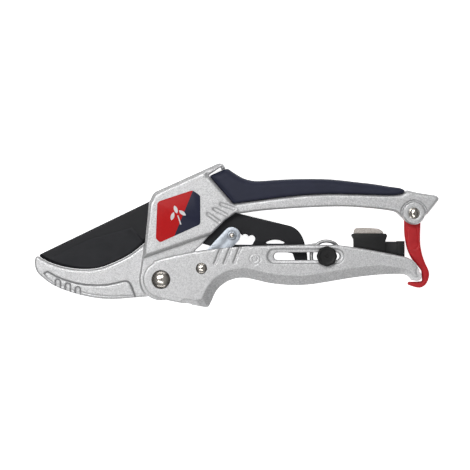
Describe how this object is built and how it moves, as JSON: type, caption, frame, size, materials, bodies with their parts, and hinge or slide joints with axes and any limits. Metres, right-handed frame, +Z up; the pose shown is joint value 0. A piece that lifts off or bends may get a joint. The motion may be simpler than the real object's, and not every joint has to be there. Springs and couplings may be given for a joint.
{
  "type": "ratchet pruning shears",
  "caption": "Ratchet anvil pruning shears with a cast jaw and handles, a coated blade, a toothed link, a tension slide and an end catch.",
  "frame": {"origin": "point on the table under the main bolt's axis, at the centre of the sleeve nut's rear face", "axes": "+X from the jaw to the handle ends, +Y from the lower handle to the upper handle, +Z up off the table along every pivot"},
  "size_m": [0.2022, 0.072, 0.0204],
  "materials": {
    "casting": "silver sparkle powder coat",
    "grip": "matt navy soft grip",
    "label": "glossy resin label, red and navy",
    "blade": "satin non-stick coating on steel",
    "chrome": "nickel plate",
    "zinc": "bluish zinc plate",
    "spring": "drawn spring wire",
    "black_plastic": "moulded black plastic",
    "red_plastic": "moulded red plastic",
    "stone": "fine whitish abrasive",
    "nylon": "white nylon"
  },
  "bodies": {
    "upper": {"upper_body": "casting", "upper_grip": "grip", "front_label": "label", "blade_pin": "zinc", "main_bolt": "chrome", "sleeve_nut": "chrome", "pivot_washers": "nylon", "catch_rivet": "chrome"},
    "blade_plate": {"blade": "blade"},
    "lower": {"lower_handle": "casting", "link_pin": "chrome", "link_pin_washers": "zinc", "stone_holder": "black_plastic", "sharpening_stone": "stone"},
    "link": {"front_link": "zinc", "rear_link": "zinc", "ratchet_pin": "chrome", "ratchet_pin_rings": "zinc", "link_spring": "spring"},
    "tension_slide": {"tension_knob": "black_plastic", "slide_post": "zinc", "spring_spool": "zinc", "return_spring": "spring"},
    "catch": {"lock_catch": "red_plastic"}
  },
  "joints": [
    {"name": "handle_open", "type": "hinge", "parent": "upper", "child": "lower", "pos_m": [0, 0, 0.009], "axis": [0, 0, -1], "range_deg": [0, 50]},
    {"name": "blade_open", "type": "hinge", "parent": "upper", "child": "blade_plate", "pos_m": [0.009, 0.026, 0.009], "axis": [0, 0, -1], "range_deg": [0, 35]},
    {"name": "link_swing", "type": "hinge", "parent": "lower", "child": "link", "pos_m": [0.0202, 0.0056, 0.009], "axis": [0, 0, 1], "range_deg": [0, 64], "deforming": ["link_spring"]},
    {"name": "tension_travel", "type": "slide", "parent": "lower", "child": "tension_slide", "axis": [1, 0, 0], "range_m": [-0.0006, 0.003]},
    {"name": "catch_swing", "type": "hinge", "parent": "upper", "child": "catch", "pos_m": [0.1262, 0.033, 0.009], "axis": [0, 0, 1], "range_deg": [0, 60]}
  ],
  "couplings": [
    {"joint": "blade_open", "follows": "handle_open", "ratio": 0.7},
    {"joint": "link_swing", "follows": "handle_open", "ratio": 1.28}
  ]
}
